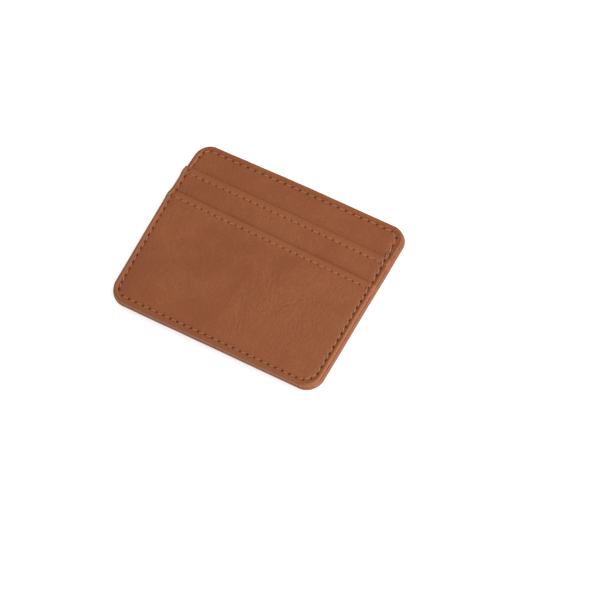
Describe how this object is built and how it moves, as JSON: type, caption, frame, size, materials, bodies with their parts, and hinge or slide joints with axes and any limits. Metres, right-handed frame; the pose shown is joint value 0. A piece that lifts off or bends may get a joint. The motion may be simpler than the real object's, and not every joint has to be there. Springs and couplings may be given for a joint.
{
  "type": "money clip wallet",
  "caption": "Slim leather card holder with two card pockets, a bill compartment open at the top and a sprung steel money clip on its back.",
  "frame": {"origin": "on the floor under the middle of the wallet, which lies on its clip with the card pockets up", "axes": "+X along the long side, +Y towards the open top edge, +Z out of the front with the card pockets"},
  "size_m": [0.1014, 0.0808, 0.0088],
  "materials": {
    "leather": "tan coated leather with a fine grain, semi-matt",
    "stiffener_board": "plain stiffening sheet",
    "lining_cloth": "thin woven lining cloth",
    "clip_steel": "brushed along the clip, nickel plated",
    "plate_steel": "stamped, nickel plated",
    "rivet_steel": "polished",
    "spring_wire": "drawn spring wire"
  },
  "bodies": {
    "case": {"front_body_panel": "leather", "upper_pocket_panel": "leather", "lower_pocket_panel": "leather", "back_body_panel": "leather", "front_stiffener": "stiffener_board", "back_stiffener": "stiffener_board", "front_compartment_lining": "lining_cloth", "back_compartment_lining": "lining_cloth", "clip_backing_plate": "plate_steel", "clip_base_plate": "plate_steel", "clip_rivets": "rivet_steel", "clip_hinge_pin": "rivet_steel", "clip_torsion_spring": "spring_wire"},
    "clip": {"clip_arm": "clip_steel"}
  },
  "joints": [
    {"name": "clip_hinge", "type": "hinge", "parent": "case", "child": "clip", "pos_m": [-0.022, 0, 0.00215], "axis": [0, 1, 0], "range_deg": [0, 17], "stiffness_Nm_per_rad": 0.4, "springref_deg": -34.38, "deforming": ["clip_torsion_spring"]}
  ]
}
